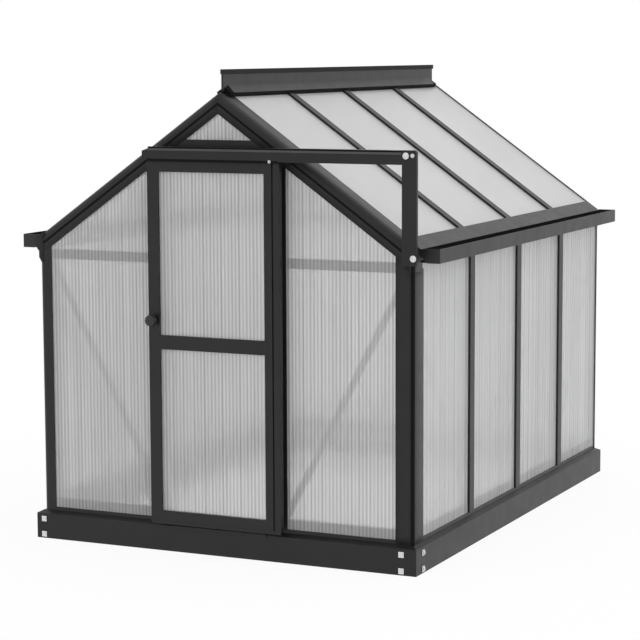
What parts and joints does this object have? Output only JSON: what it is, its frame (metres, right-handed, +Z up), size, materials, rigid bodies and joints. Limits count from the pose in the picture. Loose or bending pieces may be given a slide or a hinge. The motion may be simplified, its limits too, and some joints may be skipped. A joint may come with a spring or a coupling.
{
  "type": "twin-wall panel greenhouse",
  "caption": "Ridge-roofed greenhouse: dark metal frame with ribbed twin-wall panels on a folded base, gutters along the eaves, and a panelled door that slides on a rail across the gable.",
  "frame": {"origin": "on the ground, midway between the two gutters and midway between the knob's tip and the back of the base", "axes": "+X to the right seen from the front, +Y to the back along the ridge, +Z up; the door is on the -Y gable"},
  "size_m": [1.956, 2.515, 2.0434],
  "materials": {
    "frame": "satin dark grey powder coat",
    "base": "satin dark grey powder coat on steel",
    "panel": "ribbed translucent twin wall",
    "knob": "matt black",
    "hanger": "zinc plated"
  },
  "bodies": {
    "frame": {"base_end_rails": "base", "base_side_rails": "base", "front_sill": "frame", "back_sill": "frame", "side_sills": "frame", "front_left_post": "frame", "front_right_post": "frame", "back_posts": "frame", "door_studs": "frame", "back_studs": "frame", "left_wall_bars": "frame", "right_wall_bars": "frame", "front_ties": "frame", "back_ties": "frame", "gable_bar": "frame", "front_braces": "frame", "back_braces": "frame", "left_braces": "frame", "right_braces": "frame", "left_rafters": "frame", "right_rafters": "frame", "ridge": "frame", "eave_beams": "frame", "left_roof_bars": "frame", "right_roof_bars": "frame", "gutters": "frame", "gutter_end_caps": "frame", "front_panels": "panel", "front_gable_panel": "panel", "back_panels": "panel", "left_wall_panels": "panel", "right_wall_panels": "panel", "left_roof_panels": "panel", "right_roof_panels": "panel", "threshold": "frame", "door_rail": "frame", "rail_post": "frame", "rail_spacers": "frame"},
    "door": {"door_knob_stile": "frame", "door_plain_stile": "frame", "door_cross_rails": "frame", "door_panels": "panel", "door_knob": "knob", "door_hangers": "hanger"}
  },
  "joints": [
    {"name": "door_slide", "type": "slide", "parent": "frame", "child": "door", "axis": [1, 0, 0], "range_m": [0, 0.54]}
  ]
}
